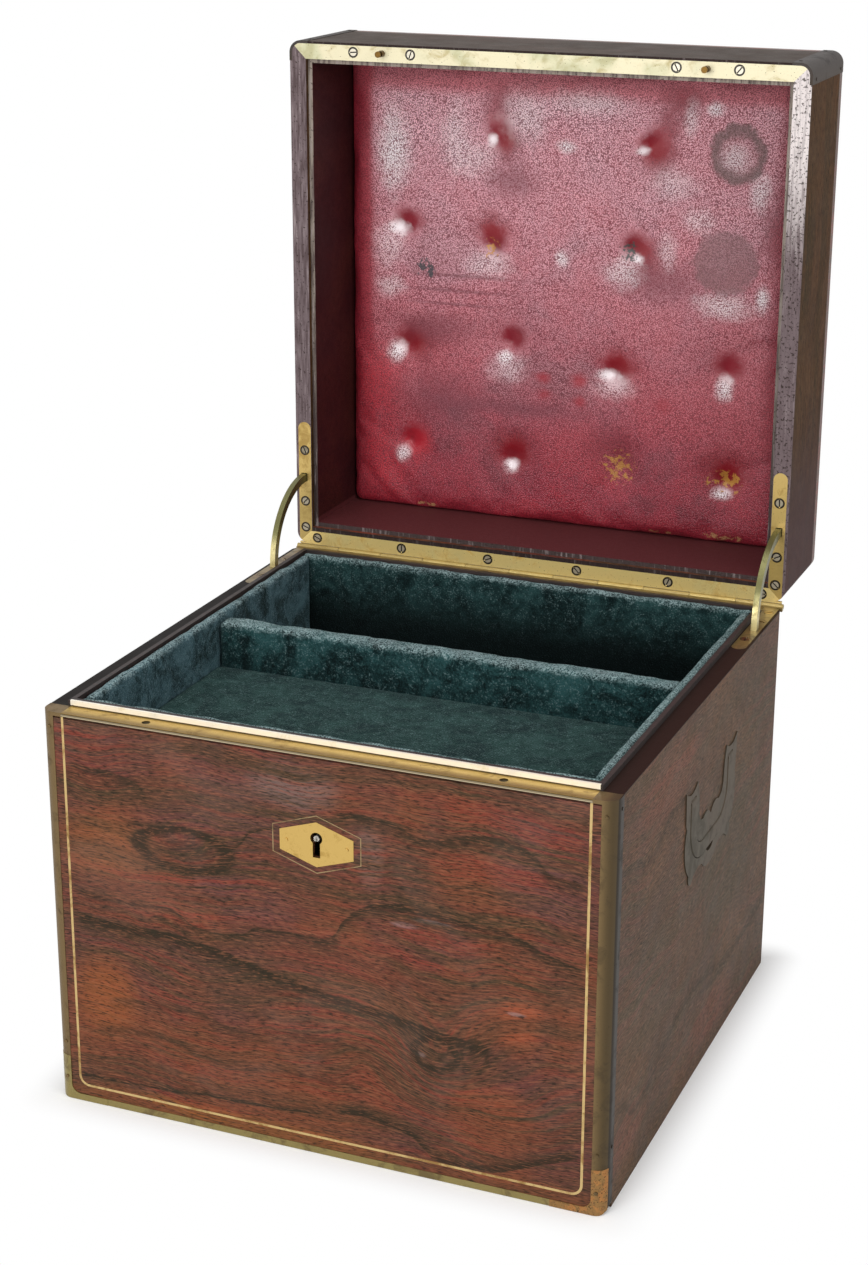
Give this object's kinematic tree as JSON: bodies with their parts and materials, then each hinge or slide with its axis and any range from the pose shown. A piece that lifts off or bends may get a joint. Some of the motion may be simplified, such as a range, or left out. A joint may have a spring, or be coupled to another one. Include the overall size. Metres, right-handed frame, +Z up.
{
  "type": "antique apothecary box",
  "caption": "Brass-bound rosewood box with a hinged lid held open by curved stays, buttoned leather lid padding, a velvet-lined tray and well, a keyhole plate and flush side handles.",
  "frame": {"origin": "middle of the box's base, on the surface it stands on", "axes": "+X to the box's right as seen from the front, +Y to its back, +Z up; the lid stands open"},
  "size_m": [0.302, 0.3691, 0.5149],
  "materials": {
    "rosewood": "french-polished rosewood with worn, cloudy patches",
    "softwood": "plain softwood, unpolished",
    "dark_wood": "dark polished hardwood",
    "aged_brass": "aged brass with blotchy tarnish",
    "bronzed_brass": "brass tarnished to a dull bronze",
    "green_brass": "brass tarnished to a greenish grey",
    "inlay_brass": "thin polished brass line",
    "dark_steel": "dull dark steel",
    "brass_screw": "worn brass screw heads",
    "teal_velvet": "crushed teal velvet",
    "maroon_leather": "thin dark maroon leather",
    "crimson_leather": "glossy crimson pebbled leather"
  },
  "bodies": {
    "case": {"back_lining": "teal_velvet", "back_panel": "rosewood", "base_strip": "aged_brass", "bottom_board": "softwood", "case_hinge_leaf": "aged_brass", "case_screws": "brass_screw", "deep_floor": "teal_velvet", "divider": "teal_velvet", "escutcheon": "aged_brass", "escutcheon_line": "inlay_brass", "escutcheon_pins": "bronzed_brass", "front_lining": "teal_velvet", "front_lip_strip": "aged_brass", "front_panel": "rosewood", "front_rim_strip": "aged_brass", "handle_pivots": "green_brass", "hinge_pin": "aged_brass", "left_case_plate": "aged_brass", "left_corner_cap": "bronzed_brass", "left_corner_moulding": "bronzed_brass", "left_handle_plate": "green_brass", "left_lining": "teal_velvet", "left_panel": "rosewood", "liner_boards": "dark_wood", "lock_case": "aged_brass", "lock_pin": "dark_steel", "moulding_pins": "bronzed_brass", "right_case_plate": "aged_brass", "right_corner_cap": "bronzed_brass", "right_corner_moulding": "bronzed_brass", "right_handle_plate": "green_brass", "right_lining": "teal_velvet", "right_panel": "rosewood", "stringing": "inlay_brass", "tray_bearers": "softwood", "tray_floor": "teal_velvet"},
    "lid": {"left_lid_moulding": "aged_brass", "left_lid_plate": "aged_brass", "lid_back": "rosewood", "lid_front": "rosewood", "lid_hinge_leaf": "aged_brass", "lid_left": "rosewood", "lid_liners": "maroon_leather", "lid_moulding_pins": "bronzed_brass", "lid_pad": "crimson_leather", "lid_right": "rosewood", "lid_rim_strip": "aged_brass", "lid_screws": "brass_screw", "lid_studs": "aged_brass", "lid_top": "rosewood", "right_lid_moulding": "aged_brass", "right_lid_plate": "aged_brass"},
    "lock_bolt": {"lock_bolt": "aged_brass"},
    "right_handle_bail": {"right_handle_bail": "green_brass"},
    "left_handle_bail": {"left_handle_bail": "green_brass"},
    "right_stay": {"right_stay": "aged_brass"},
    "left_stay": {"left_stay": "aged_brass"}
  },
  "joints": [
    {"name": "lid_hinge", "type": "hinge", "parent": "case", "child": "lid", "pos_m": [0, 0.14985, 0.21715], "axis": [1, 0, 0], "range_deg": [0, 90]},
    {"name": "right_stay_slide", "type": "hinge", "parent": "case", "child": "right_stay", "pos_m": [0, 0.14985, 0.21715], "axis": [1, 0, 0], "range_deg": [0, 45]},
    {"name": "left_stay_slide", "type": "hinge", "parent": "case", "child": "left_stay", "pos_m": [0, 0.14985, 0.21715], "axis": [1, 0, 0], "range_deg": [0, 45]},
    {"name": "lock_slide", "type": "slide", "parent": "case", "child": "lock_bolt", "axis": [1, 0, 0], "range_m": [0, 0.005]},
    {"name": "right_handle_swing", "type": "hinge", "parent": "case", "child": "right_handle_bail", "pos_m": [0.1492, 0.0126, 0.167], "axis": [0, -1, 0], "range_deg": [0, 90]},
    {"name": "left_handle_swing", "type": "hinge", "parent": "case", "child": "left_handle_bail", "pos_m": [-0.1492, 0.0126, 0.167], "axis": [0, 1, 0], "range_deg": [0, 90]}
  ],
  "couplings": [
    {"joint": "right_stay_slide", "follows": "lid_hinge", "ratio": 0.5},
    {"joint": "left_stay_slide", "follows": "lid_hinge", "ratio": 0.5}
  ]
}
